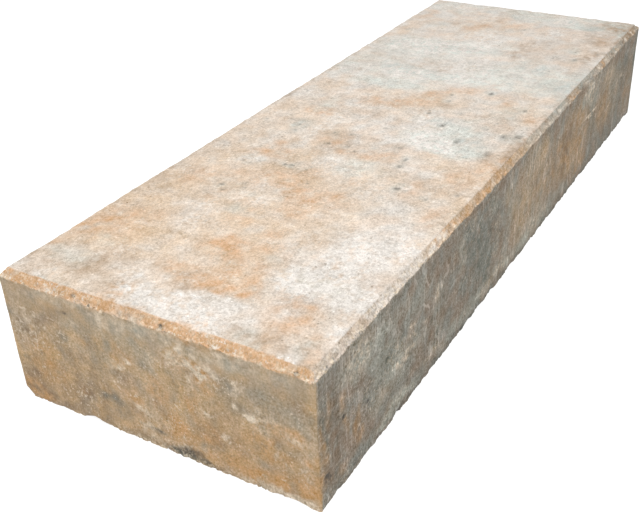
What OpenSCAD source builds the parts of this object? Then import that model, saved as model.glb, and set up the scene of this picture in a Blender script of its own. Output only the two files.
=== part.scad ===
// Concrete block step: one vibrated and pressed casting with a chamfer round its tread.
// It lies on its underside. The origin is the middle of the underside, +X runs along the
// step, -Y is the front riser and +Z is up. The bottom edges are chipped, as handling
// and stacking leave them.

/* [Block] */
// Length of the step from end to end
step_length = 1000; // [400:10:1500]
// Depth of the step from the front riser to the back
step_depth = 350; // [250:5:500]
// Height from the underside to the tread
step_height = 150; // [100:5:220]
// Radius that the mould leaves on the four upright corners
corner_radius = 1.5; // [0.5:0.5:6]

/* [Chamfer] */
// Width of the chamfer, measured across the tread
chamfer_width = 7; // [3:0.5:15]
// Drop of the chamfer, measured down the sides
chamfer_drop = 8; // [3:0.5:15]

/* [Broken corner] */
// How far the broken bottom corner, back left, runs along each of its three edges
broken_corner_reach = 10; // [4:1:20]

/* [Left end chips] */
// Middle of the notch in the left end's bottom edge, from the back face
notch_from_back = 92; // [50:1:120]
// Length of the notch along the edge
notch_length = 28; // [10:1:40]
// Height of the notch up the left end
notch_bite = 5.5; // [1:0.5:8]
// Middle of the flake near the front corner of the left end, from the front riser
flake_from_front = 28; // [24:1:60]
// Length of the flake along the edge
flake_length = 30; // [10:1:40]
// Height of the flake up the left end
flake_bite = 3; // [1:0.5:6]

/* [Small chips] */
// Length of bottom edge at each corner that carries no small chips
chip_margin = 15; // [5:1:40]
// Distance from one small chip to the next
chip_spacing = 46; // [35:1:120]
// Length of the smallest chip along the edge
chip_length = 12; // [6:1:20]
// How much longer than that the largest chip is
chip_length_spread = 16; // [0:1:30]
// Height of the shallowest chip up the side
chip_bite = 1.2; // [0.5:0.1:3]
// How much deeper than that the deepest chip is
chip_bite_spread = 2; // [0:0.1:3]
// Number that picks another run of chips
chip_seed = 11; // [1:1:99]

/* [Hidden] */

concrete_colour = [0.75, 0.66, 0.56];
ball_facets = 96;
corner_facets = 32;
// How far a cutting shape runs past the block
past = 5;

half_length = step_length / 2;
half_depth = step_depth / 2;

// Along each bottom edge: the turn that brings it to the front, its length, and its
// distance from the middle of the block.
bottom_edges = [
    [0, step_length, half_depth],
    [90, step_depth, half_length],
    [180, step_length, half_depth],
    [270, step_depth, half_length]
];

block_step();

module block_step() {
    color(concrete_colour)
        difference() {
            chamfered_block();
            broken_corner();
            left_end_chips();
            for (side = [0 : len(bottom_edges) - 1])
                rotate([0, 0, bottom_edges[side][0]])
                    translate([0, -bottom_edges[side][2], 0])
                        small_chips(bottom_edges[side][1], chip_seed + side);
        }
}

// The chamfer of the long sides and that of the ends are each a prism, and where the
// two prisms meet, the chamfers are mitred.
module chamfered_block() {
    intersection() {
        linear_extrude(height = step_height)
            rounded_outline();
        rotate([90, 0, 90])
            linear_extrude(height = step_length + 2 * past, center = true)
                chamfered_section(half_depth);
        rotate([90, 0, 0])
            linear_extrude(height = step_depth + 2 * past, center = true)
                chamfered_section(half_length);
    }
}

module rounded_outline() {
    square([step_length - 2 * corner_radius, step_depth], center = true);
    square([step_length, step_depth - 2 * corner_radius], center = true);
    for (x = [-1, 1], y = [-1, 1])
        translate([x * (half_length - corner_radius), y * (half_depth - corner_radius)])
            circle(r = corner_radius, $fn = corner_facets);
}

module chamfered_section(half_width) {
    chamfer_foot = step_height - chamfer_drop;
    tread_edge = half_width - chamfer_width;
    polygon([
        [-half_width, -past],
        [half_width, -past],
        [half_width, chamfer_foot],
        [tread_edge, step_height],
        [-tread_edge, step_height],
        [-half_width, chamfer_foot]
    ]);
}

// A chip is a shallow hollow cut by a ball. The ball's middle stands off the edge by the
// same amount outwards and downwards, so the chip reaches as far in under the block as
// it does up the side.
function chip_stand_off(length, bite) = (pow(length / 2, 2) - pow(bite, 2)) / (2 * bite);

module chip(length, bite) {
    stand_off = chip_stand_off(length, bite);
    translate([0, -stand_off, -stand_off])
        sphere(r = sqrt(pow(length / 2, 2) + 2 * pow(stand_off, 2)), $fn = ball_facets);
}

// Chips along a bottom edge that lies on the X axis, under a side that faces -Y. Each
// has a stretch of the edge to itself, and lies somewhere within it.
module small_chips(edge_length, seed) {
    run = edge_length - 2 * chip_margin;
    count = floor(run / chip_spacing);
    stretch = run / count;
    lengths = rands(chip_length, chip_length + chip_length_spread, count, seed);
    bites = rands(chip_bite, chip_bite + chip_bite_spread, count, seed + 100);
    shifts = rands(-1, 1, count, seed + 200);
    for (i = [0 : count - 1])
        translate([
            (i + 0.5) * stretch - run / 2 + shifts[i] * (stretch - lengths[i]) / 2,
            0,
            0
        ])
            chip(lengths[i], bites[i]);
}

module left_end_chips() {
    translate([-half_length, half_depth - notch_from_back, 0])
        rotate([0, 0, -90])
            chip(notch_length, notch_bite);
    translate([-half_length, -half_depth + flake_from_front, 0])
        rotate([0, 0, -90])
            chip(flake_length, flake_bite);
}

// The ball's middle stands off the corner by the reach along all three axes, and its
// surface passes through the point at the reach on each edge.
module broken_corner() {
    translate([
        -half_length - broken_corner_reach,
        half_depth + broken_corner_reach,
        -broken_corner_reach
    ])
        sphere(r = broken_corner_reach * sqrt(6), $fn = ball_facets);
}
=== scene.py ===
"""The looks of the concrete block step: one weathered casting with a chamfered tread."""

import math

import bpy
import numpy as np
from mathutils import Matrix, Vector, noise


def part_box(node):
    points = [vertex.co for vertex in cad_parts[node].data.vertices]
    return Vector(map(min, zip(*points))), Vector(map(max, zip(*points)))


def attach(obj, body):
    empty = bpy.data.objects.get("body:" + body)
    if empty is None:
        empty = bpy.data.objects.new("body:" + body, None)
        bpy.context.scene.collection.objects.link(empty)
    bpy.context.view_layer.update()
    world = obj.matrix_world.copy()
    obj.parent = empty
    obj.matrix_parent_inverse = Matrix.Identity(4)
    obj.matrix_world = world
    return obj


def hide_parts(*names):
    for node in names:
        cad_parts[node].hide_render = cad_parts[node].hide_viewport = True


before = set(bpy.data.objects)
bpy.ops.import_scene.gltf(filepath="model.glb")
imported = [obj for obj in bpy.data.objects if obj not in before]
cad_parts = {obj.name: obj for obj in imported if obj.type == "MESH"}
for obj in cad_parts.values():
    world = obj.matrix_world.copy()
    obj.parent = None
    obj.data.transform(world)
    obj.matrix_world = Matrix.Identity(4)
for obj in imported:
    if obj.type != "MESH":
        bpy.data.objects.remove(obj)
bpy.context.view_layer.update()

MM = 0.001
LOW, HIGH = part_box("block_step")
SIZE = HIGH - LOW

# The chamfer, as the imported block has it: where it meets the tread, and its foot, which
# is the lowest corner in the block's upper half
corners = [corner.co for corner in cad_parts["block_step"].data.vertices]
tread_edge = max(corner.y for corner in corners if corner.z > HIGH.z - MM / 10)
chamfer_foot = min(corner.z for corner in corners if corner.z > HIGH.z / 2)
chamfer_width = HIGH.y - tread_edge
chamfer_drop = HIGH.z - chamfer_foot


# ---------------------------------------------------------------- where the stains and the painted shade lie
#
# The stains are painted a face at a time. Each patch is a soft oval: its middle
# and its reach both ways in millimetres, and its strength in hundredths. The tread is
# read from above with X along the step and Y across it, a long side by X and Z, and an
# end by Y and Z. Where patches overlap, the stain is the stronger for it.

# Besides the stains, each table holds dark pits, whose near-black colour is painted shade
TREAD = {
    "tan": [
        (-300, 60, 190, 130, 50), (-400, 120, 90, 60, 40), (-395, -25, 55, 55, 50),
        (-200, -20, 100, 60, 17), (-130, -140, 110, 40, 36), (-200, -60, 80, 40, 35),
        (-60, 110, 80, 60, 35), (60, -20, 60, 60, 30), (80, -130, 70, 45, 30), (380, 40, 70, 60, 25),
        (-450, -150, 40, 20, 20), (-130, 50, 60, 18, 35), (-285, -72, 35, 25, 35),
        (-105, -100, 25, 30, 40), (-210, -166, 130, 10, 45), (55, 130, 35, 28, 35), (60, 55, 30, 25, 25),
        (-485, 80, 25, 50, 35), (-485, -110, 22, 32, 40), (340, -130, 50, 25, 10),
        (-340, 140, 150, 40, 45), (-310, 0, 30, 50, 35), (-395, 45, 25, 20, 30), (320, 150, 40, 15, 25),
        (-375, 90, 25, 15, 30), (-150, 52, 30, 14, 35), (-425, -75, 20, 14, 30), (45, 0, 60, 30, 30),
        (-150, 150, 60, 20, 30), (-180, 130, 30, 25, 25), (-80, 40, 30, 20, 25), (-320, -60, 30, 20, 30),
        (-490, 30, 8, 20, 40), (-290, 65, 50, 25, 25),
    ],
    "ochre": [
        (-428, -32, 12, 42, 75), (-368, 5, 22, 28, 70), (-395, -10, 30, 25, 21), (-420, 30, 12, 15, 40),
        (-418, -60, 16, 10, 50), (-400, -40, 25, 25, 35), (-385, 130, 35, 40, 35), (-392, 155, 20, 15, 35),
        (-350, 120, 20, 30, 25), (-430, 160, 20, 10, 30), (-330, -25, 12, 12, 35), (-360, -65, 15, 8, 35),
        (-430, -112, 25, 25, 35), (-438, -138, 12, 8, 35), (-460, -152, 10, 8, 25),
        (-365, -158, 12, 10, 30), (-230, 60, 25, 60, 21), (-240, 0, 25, 30, 45), (-275, -20, 30, 20, 35),
        (-240, -45, 25, 20, 25), (-215, 40, 20, 30, 30), (-170, 95, 15, 18, 40), (-145, 95, 15, 12, 35),
        (-110, 55, 15, 15, 25), (-125, -30, 12, 30, 30), (-115, -45, 12, 15, 30), (-180, -37, 12, 8, 35),
        (-180, -105, 25, 15, 30), (-130, -140, 40, 25, 30), (-90, -158, 40, 14, 24),
        (-230, -150, 30, 14, 30), (-30, 100, 18, 22, 45), (45, 10, 18, 38, 29), (65, -10, 20, 25, 25),
        (110, -35, 18, 28, 30), (100, -110, 20, 12, 30), (60, -155, 20, 12, 30), (30, -130, 12, 12, 15),
        (390, 40, 18, 18, 30), (415, 10, 25, 20, 20), (320, 100, 25, 30, 12), (400, -150, 40, 10, 20),
        (-485, -115, 14, 18, 30), (-370, 150, 25, 18, 30), (-250, 125, 30, 25, 30), (-484, 50, 16, 18, 40),
        (-486, -50, 12, 18, 35), (-480, -160, 16, 12, 40), (-355, -35, 16, 18, 35), (-165, 78, 20, 18, 30),
        (-108, 35, 16, 14, 40), (30, 55, 18, 20, 35), (85, -15, 18, 20, 30), (370, 50, 20, 20, 30),
        (405, -12, 20, 14, 25), (-320, 20, 14, 20, 25), (410, 145, 25, 12, 20), (-290, 35, 12, 20, 25),
        (-463, -118, 18, 20, 35), (-440, -125, 14, 12, 25), (-472, 45, 14, 14, 30), (-412, 15, 10, 14, 30),
        (-200, 12, 20, 14, 25), (-120, 8, 14, 14, 35), (-270, 82, 24, 14, 25), (-410, -118, 16, 18, 40),
        (-492, -45, 6, 18, 40), (-238, -30, 25, 18, 25), (-145, -15, 18, 18, 20), (35, 18, 16, 16, 25),
        (-100, -166, 40, 6, 30), (-495, 20, 6, 20, 30), (-90, 30, 12, 12, 25), (-40, 92, 12, 14, 30),
    ],
    "frost": [
        (100, 60, 22, 60, 60), (140, 40, 25, 60, 60), (155, -30, 22, 40, 60), (190, -70, 50, 50, 50),
        (200, -130, 50, 30, 40), (265, 60, 30, 80, 65), (250, 130, 40, 30, 50), (280, 10, 30, 25, 50),
        (110, 120, 30, 30, 23), (-70, -100, 20, 40, 81), (-50, -50, 30, 25, 65), (-20, -80, 25, 25, 63),
        (150, 150, 60, 20, 35), (450, -85, 25, 25, 55), (465, 0, 25, 40, 30), (-385, -115, 18, 40, 35),
        (-160, -25, 22, 35, 35), (460, 140, 25, 25, 40), (230, 60, 30, 60, 30), (330, -120, 20, 16, 30),
        (-450, 130, 12, 30, 25), (-10, 100, 30, 12, 25), (360, 110, 30, 20, 20), (-300, 40, 12, 12, 25),
        (-412, 118, 12, 16, 30), (190, -20, 24, 20, 30), (270, 40, 16, 30, 25), (450, 105, 14, 14, 30),
        (185, 110, 20, 25, 25), (240, 80, 40, 50, 25), (20, -85, 14, 14, 25), (445, 100, 20, 20, 25),
        (-488, -115, 6, 14, 30), (150, -110, 20, 60, 20), (485, 0, 14, 170, 30), (140, 0, 16, 160, 25),
        (290, -25, 40, 20, 30), (450, -50, 20, 60, 30), (475, -150, 18, 20, 30),
    ],
    "bloom": [
        (-474, 0, 20, 60, 80), (-480, -60, 17, 20, 60), (-450, -40, 10, 45, 50), (-450, 50, 8, 25, 40),
        (-480, 125, 10, 20, 30), (-385, -100, 30, 40, 80), (-340, -115, 50, 30, 70),
        (-392, -155, 30, 20, 80), (-300, -145, 40, 30, 60), (-440, -162, 16, 10, 50),
        (-490, -140, 5, 12, 70), (-300, -95, 25, 22, 30), (-335, 65, 15, 25, 30), (-310, 75, 12, 20, 30),
        (-275, 35, 15, 30, 25), (-155, 15, 15, 20, 45), (-170, -10, 20, 20, 30), (-200, -60, 25, 25, 25),
        (-190, 95, 12, 20, 35), (-130, 72, 15, 8, 30), (-100, 68, 20, 10, 25), (-40, 62, 22, 30, 30),
        (-70, -85, 15, 35, 60), (-55, -60, 30, 40, 50), (-20, -40, 30, 30, 45), (20, -35, 20, 20, 30),
        (20, 145, 12, 10, 40), (115, 135, 22, 25, 35), (140, 60, 25, 45, 55), (185, -15, 60, 40, 50),
        (265, 65, 32, 75, 50), (250, 130, 35, 30, 40), (300, 5, 30, 22, 50), (230, 75, 20, 30, 35),
        (465, 120, 20, 35, 40), (460, 150, 20, 12, 30), (390, -72, 25, 20, 50), (455, -70, 22, 25, 50),
        (340, 20, 40, 35, 30), (200, -90, 45, 30, 25), (240, 20, 140, 120, 20), (440, 60, 40, 40, 25),
        (-75, 70, 20, 14, 30), (125, 142, 16, 12, 45), (-330, -60, 25, 18, 25), (275, 30, 16, 40, 35),
    ],
    "slate": [
        (-445, 150, 8, 20, 30), (-440, 115, 12, 25, 30), (-480, -100, 16, 16, 40),
        (-475, -155, 18, 12, 40), (-375, -90, 12, 15, 25), (-375, -155, 12, 12, 25),
        (-375, -50, 10, 12, 25), (-265, 80, 22, 22, 15), (-190, 95, 14, 16, 25), (-185, 45, 10, 18, 25),
        (-80, 95, 20, 12, 35), (-160, -105, 12, 8, 25), (-60, -125, 20, 20, 45), (-35, -75, 40, 35, 30),
        (-25, -110, 40, 20, 40), (5, -45, 20, 20, 25), (-10, 95, 10, 12, 30), (90, 60, 12, 40, 40),
        (110, 45, 15, 30, 25), (155, 75, 18, 45, 55), (150, 5, 14, 32, 45), (200, -40, 20, 20, 40),
        (180, -80, 20, 20, 35), (225, -115, 14, 15, 40), (170, -140, 40, 20, 40), (200, -155, 50, 12, 45),
        (240, -85, 30, 40, 30), (445, -115, 18, 25, 70), (450, -80, 22, 22, 60), (470, 5, 10, 12, 35),
        (450, 10, 12, 15, 35), (465, 155, 14, 6, 50), (480, -130, 20, 15, 40), (200, 100, 70, 60, 25),
        (60, -120, 28, 20, 30), (450, -165, 55, 9, 60), (270, 60, 40, 80, 25), (180, 0, 60, 50, 20),
        (460, -160, 40, 14, 40), (200, -100, 50, 40, 25), (470, 0, 30, 60, 25), (-265, 45, 10, 15, 25),
        (-494, -108, 5, 14, 40), (0, -45, 14, 18, 30), (155, 45, 16, 45, 35), (462, 65, 12, 20, 30),
        (200, -165, 60, 8, 50), (450, -155, 40, 18, 50), (485, -110, 14, 22, 50), (-15, -152, 16, 12, 30),
        (0, -30, 14, 18, 25), (150, 50, 14, 45, 20), (130, -165, 25, 8, 30), (80, -155, 16, 10, 25),
        (180, -30, 20, 20, 20), (430, -165, 20, 8, 30), (458, -150, 40, 22, 35), (140, -165, 40, 8, 20),
        (-495, 120, 8, 40, 30),
    ],
    "umber": [
        (-440, -15, 6, 18, 35), (-440, -50, 5, 18, 30), (-458, 105, 16, 35, 35), (-475, 62, 18, 22, 30),
        (-435, 70, 10, 15, 25), (-450, 165, 25, 8, 40), (-350, 120, 15, 20, 25), (-480, -85, 15, 12, 35),
        (-486, -112, 14, 22, 45), (-485, -155, 10, 10, 45), (-390, -20, 12, 12, 20),
        (-260, 110, 10, 15, 20), (-150, -95, 6, 30, 20), (-110, 22, 16, 18, 30), (-85, 30, 14, 12, 30),
        (-10, 40, 15, 20, 25), (50, -38, 14, 10, 45), (25, -30, 10, 5, 35), (180, 20, 14, 14, 30),
        (190, 50, 12, 18, 20), (270, -57, 20, 10, 35), (320, -54, 30, 6, 50), (300, -75, 40, 20, 25),
        (380, 90, 12, 10, 30), (390, 45, 10, 10, 35), (420, 28, 12, 8, 35), (480, 20, 12, 20, 35),
        (475, 75, 12, 8, 30), (330, -155, 14, 10, 35), (480, -130, 12, 6, 50), (480, -160, 20, 12, 70),
        (450, -145, 14, 12, 45), (140, -115, 10, 6, 30), (340, -130, 40, 22, 12), (380, -110, 90, 50, 12),
        (-20, -166, 50, 7, 40), (-70, -150, 20, 10, 30), (150, -168, 60, 4, 30), (360, -168, 60, 5, 35),
        (-330, 150, 160, 25, 20), (-430, 95, 20, 15, 35), (-330, 85, 30, 20, 20), (-482, -125, 14, 25, 30),
        (-80, 55, 30, 20, 22), (-85, 0, 10, 15, 30), (-175, -115, 20, 18, 25), (0, -35, 12, 10, 25),
        (-10, -166, 80, 8, 45), (300, -52, 45, 14, 40), (395, -135, 35, 18, 30), (470, -150, 35, 25, 55),
        (190, 20, 25, 15, 20), (420, -168, 80, 6, 40), (-260, -55, 20, 12, 15), (490, -30, 8, 90, 25),
        (-463, -118, 14, 16, 25), (20, -20, 14, 10, 20), (300, -155, 30, 14, 35), (370, -150, 30, 14, 30),
        (-15, -152, 18, 12, 25), (-60, -170, 60, 5, 40), (-60, 166, 440, 3.5, 35), (-440, 110, 20, 35, 25),
        (-432, 0, 12, 20, 30), (-238, -30, 20, 14, 20), (30, 20, 14, 12, 15), (195, -85, 30, 25, 20),
        (295, -135, 25, 18, 25), (215, -150, 30, 10, 20), (350, -80, 20, 14, 20), (480, -130, 14, 14, 30),
        (-170, 70, 25, 20, 20), (-150, -160, 30, 10, 15), (-455, -15, 8, 14, 20), (440, -150, 30, 14, 30),
        (-485, 150, 20, 25, 20), (-262, 55, 16, 30, 15), (-420, 75, 25, 14, 15), (-40, 92, 12, 12, 25),
        (300, -105, 30, 20, 15), (-440, -10, 14, 24, 30), (-130, 40, 16, 16, 25), (-175, -130, 20, 12, 25),
        (35, 25, 12, 18, 25), (475, 15, 8, 18, 30), (180, -140, 20, 10, 20), (240, -128, 16, 14, 25),
        (315, -150, 30, 12, 25), (-445, 150, 16, 12, 30),
    ],
    # Dark spots pressed in as shallow pits: their near-black colour is painted shade in the pits
    "pit_shade": [
        (-258, 88, 4, 4, 48), (-268, 80, 4, 4, 40), (-255, 60, 2, 2, 32), (-246, 66, 3, 3, 36),
        (-256, 24, 2, 2, 24), (-197, 102, 3, 3, 40), (-190, 84, 2, 2, 32), (-186, 52, 3, 3, 56),
        (-184, 44, 3, 3, 52), (-187, 23, 2, 2, 40), (-179, 21, 2, 2, 32), (-114, 37, 3, 3, 56),
        (-112, 12, 3, 3, 36), (-120, -2, 3, 3, 48), (-103, -18, 2, 2, 40), (-83, 46, 4, 2, 36),
        (-80, 25, 2, 2, 40), (-98, 94, 2, 2, 32), (-80, 98, 4, 3, 44), (-83, 145, 2, 2, 40),
        (-45, -4, 3, 3, 32), (-88, -45, 4, 3, 48), (-134, -67, 4, 3, 52), (-115, -65, 5, 3, 44),
        (-143, -38, 2, 2, 24), (-184, -89, 5, 4, 68), (-216, 4, 2, 2, 32), (-167, -6, 2, 2, 28),
        (-193, -127, 4, 3, 32), (-160, -129, 2, 2, 32), (-171, -153, 3, 3, 28), (-248, -138, 2, 2, 36),
        (-300, -117, 2, 2, 40), (-318, -125, 2, 2, 32), (-5, -62, 6, 4, 68), (-42, -97, 7, 4, 60),
        (-62, -118, 5, 4, 28), (-60, -142, 8, 6, 36), (-7, -142, 6, 5, 48), (0, -158, 6, 5, 64),
        (12, -65, 5, 3, 36), (5, -115, 4, 3, 32), (20, 148, 3, 2, 32), (22, -31, 4, 3, 40),
        (30, -28, 3, 2, 32), (70, -37, 4, 3, 40), (91, -31, 4, 3, 52), (116, -77, 5, 4, 60),
        (80, -137, 5, 3, 40), (37, -68, 3, 2, 24), (28, -120, 3, 2, 28), (230, -117, 3, 3, 32),
        (225, -102, 3, 2, 28), (290, -135, 6, 4, 56), (285, -105, 5, 2, 28), (393, -22, 4, 3, 28),
        (320, 145, 5, 3, 28), (128, 163, 4, 2, 32), (148, 158, 3, 2, 28), (325, -158, 5, 3, 32),
    ],
}

LEFT_END = {
    "tan": [
        (0, 60, 260, 90, 80), (0, 130, 260, 30, 55), (150, 40, 60, 70, 30), (-98, 105, 10, 14, 40),
        (-122, 50, 18, 12, 50), (40, 88, 14, 12, 40), (-175, 75, 9, 90, 55), (175, 75, 9, 90, 40),
        (170, 14, 14, 16, 30),
    ],
    "ochre": [
        (140, 75, 25, 12, 30), (137, 52, 25, 16, 40), (155, 10, 18, 9, 60), (35, 93, 22, 12, 35),
        (-5, 72, 10, 15, 60), (-45, 75, 8, 20, 60), (-50, 112, 32, 14, 35), (-65, 100, 12, 10, 45),
        (20, 50, 10, 8, 40), (-22, 36, 18, 18, 60), (-35, 25, 18, 10, 50), (-62, 30, 25, 14, 18),
        (-100, 20, 30, 12, 50), (-120, 15, 20, 10, 60), (-150, 22, 22, 14, 50), (-142, 72, 22, 11, 55),
        (-140, 42, 15, 8, 50), (-165, 105, 12, 12, 15), (-165, 45, 12, 35, 40), (-145, 122, 14, 10, 30),
        (-95, 45, 15, 25, 25), (80, 97, 12, 6, 30), (55, 50, 6, 8, 40), (-75, 70, 12, 18, 30),
        (-60, 12, 110, 9, 30), (-118, 58, 14, 14, 50), (-170, 42, 8, 48, 40), (-168, 20, 10, 20, 40),
        (28, 56, 16, 16, 30), (128, 40, 20, 20, 35), (165, 8, 12, 12, 40), (-55, 110, 12, 10, 35),
        (-60, 42, 16, 16, 40), (-5, 60, 12, 18, 40), (-58, 118, 12, 12, 30), (-120, 36, 14, 10, 35),
        (-146, 74, 12, 8, 30), (-146, 73, 12, 8, 35), (20, 30, 14, 10, 20), (-55, 18, 10, 8, 30),
        (-75, 32, 12, 8, 25), (-120, 30, 12, 14, 25), (88, 38, 10, 8, 25), (-50, 64, 8, 12, 35),
        (-52, 108, 12, 12, 25), (32, 98, 12, 12, 25), (-12, 70, 10, 8, 25), (-25, 147, 28, 8, 80),
        (65, 147, 25, 8, 40), (112, 147, 38, 8, 75), (160, 14, 22, 12, 40), (-48, 72, 6, 12, 35),
        (-140, 12, 18, 6, 40), (0, 147, 175, 7, 25), (85, 147, 45, 8, 50), (60, 147, 25, 8, 30),
    ],
    "frost": [
        (-115, 100, 25, 22, 21), (15, 115, 25, 25, 30), (52, 92, 12, 12, 30), (90, 112, 18, 10, 25),
        (-150, 98, 16, 14, 25), (0, 134, 170, 9, 25), (60, 120, 14, 10, 25), (-140, 125, 25, 12, 25),
        (-95, 132, 20, 10, 30),
    ],
    "bloom": [
        (0, 134, 170, 10, 30), (33, 82, 4, 3, 100), (27, 90, 3, 3, 80), (-54, 70, 3, 3, 100),
        (-61, 67, 3, 3, 90), (-105, 81, 6, 4, 100), (-111, 77, 7, 4, 90), (-74, 46, 3, 3, 90),
        (17, 42, 8, 4, 60), (-53, 110, 5, 4, 60), (-57, 105, 4, 4, 60), (-38, 120, 28, 14, 45),
        (-90, 112, 4, 4, 50), (-91, 90, 4, 4, 60), (149, 115, 3, 2, 60), (140, 108, 3, 3, 60),
        (-130, 42, 3, 3, 60), (-163, 6, 6, 4, 90), (-172, 84, 3, 2, 60), (85, 115, 4, 3, 40),
        (130, 91, 3, 3, 40), (-80, 141, 8, 5, 50), (-40, 98, 5, 4, 40), (-100, 4, 22, 4, 40),
        (-140, 3, 20, 4, 40), (40, 86, 12, 8, 25), (155, 95, 16, 35, 25), (52, 130, 14, 12, 30),
        (8, 17, 16, 11, 30), (-120, 80, 16, 8, 30), (88, 80, 10, 20, 15), (-165, 60, 10, 40, 20),
        (16, 60, 40, 30, 10), (-52, 112, 14, 10, 50), (-40, 92, 14, 14, 14), (-150, 72, 14, 8, 35),
        (-118, 66, 10, 6, 30), (-50, 18, 14, 6, 25), (8, 30, 8, 14, 30), (-93, 106, 12, 8, 25),
        (-100, 72, 3, 2, 50), (-118, 30, 2, 2, 60), (45, 64, 2, 2, 50), (-160, 8, 10, 5, 50),
        (-25, 112, 14, 8, 25), (-173, 143, 6, 4, 80), (-150, 1, 22, 4.5, 80), (-65, 114, 10, 10, 45),
        (-148, 4, 22, 5, 50), (-15, 11, 30, 5, 30), (22, 147, 18, 7, 12),
    ],
    "slate": [
        (0, 132, 110, 12, 20), (-20, 5, 7, 5, 48), (0, 22, 12, 3, 40), (52, 38, 16, 7, 48),
        (40, 30, 9, 6, 36), (162, 52, 7, 6, 44), (168, 107, 4, 4, 40), (-135, 54, 15, 4, 32),
        (-120, 65, 10, 6, 28), (-82, 102, 14, 15, 32), (-95, 130, 16, 8, 20), (-160, 90, 8, 15, 28),
        (42, 73, 10, 6, 28), (45, 100, 8, 10, 20), (62, 78, 8, 16, 20), (105, 88, 16, 12, 20),
        (-36, 50, 10, 8, 20), (-90, 45, 8, 12, 16), (15, 100, 14, 20, 16), (-150, 130, 20, 8, 16),
        (-34, 9, 15, 9, 72), (-34, 9, 14, 9, 50), (-55, 3, 10, 4, 56), (-62, 33, 14, 8, 24),
        (-115, 100, 22, 20, 12), (-85, 118, 12, 8, 24), (-162, 62, 8, 10, 24), (55, 42, 12, 8, 24),
        (48, 110, 12, 12, 25), (-168, 95, 8, 14, 30), (-115, 68, 12, 8, 20), (130, 80, 20, 10, 20),
        (-22, 6, 14, 7, 50), (95, 88, 16, 10, 25), (150, 110, 16, 20, 15), (-70, 105, 10, 14, 15),
        (130, 58, 12, 10, 15), (-140, 108, 30, 14, 20), (35, 28, 16, 14, 25), (50, 115, 14, 14, 25),
        (-132, 147, 18, 6, 25), (-92, 88, 10, 8, 35), (8, 86, 10, 8, 25), (-25, 97, 16, 10, 25),
        (60, 46, 14, 12, 30), (-130, 55, 8, 12, 25), (-170, 110, 8, 20, 35),
    ],
    "umber": [
        (150, 28, 20, 22, 40), (75, 25, 35, 20, 25), (75, 110, 12, 12, 20), (100, 35, 50, 25, 20),
        (-40, 8, 14, 8, 40), (5, 21, 14, 4, 40), (110, 112, 25, 12, 25), (30, 70, 14, 10, 35),
        (-60, 44, 22, 16, 35), (-5, 50, 10, 18, 25), (-100, 90, 20, 10, 20), (0, 6, 60, 4, 30),
        (-132, 62, 10, 8, 30), (-105, 40, 14, 16, 25), (0, 65, 8, 14, 30), (28, 56, 18, 18, 25),
        (25, 38, 10, 8, 30), (95, 72, 16, 14, 35), (72, 62, 10, 20, 30), (85, 45, 20, 14, 30),
        (148, 95, 14, 20, 30), (135, 6, 40, 9, 45), (62, 68, 12, 14, 20), (100, 128, 24, 12, 25),
        (-110, 95, 10, 8, 20), (30, 40, 14, 18, 15), (85, 38, 12, 14, 20), (30, 145, 8, 4, 30),
        (118, 147, 48, 8, 28), (-145, 46, 12, 10, 25), (-5, 58, 8, 10, 20), (172, 15, 10, 20, 40),
        (-60, 4, 20, 3, 40), (160, 12, 30, 14, 35), (120, 10, 30, 8, 20), (152, 12, 14, 12, 30),
        (-65, 38, 20, 12, 30), (152, 90, 14, 20, 30), (0, 147, 175, 7, 28),
    ],
    # Dark specks on the end: painted shade in its pits
    "pit_shade": [
        (95, 124, 4, 2, 50), (138, 63, 4, 3, 40), (0, 22, 9, 2, 40), (82, 146, 3, 2, 100),
        (-19, 145, 3, 2, 80), (-157, 144, 3, 2, 80), (-52, 5, 8, 4, 40), (-33, 9, 10, 6, 68),
        (-20, 4, 10, 5, 60), (-45, 12, 6, 4, 50), (-2, 20, 3, 3, 30),
    ],
}

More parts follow.
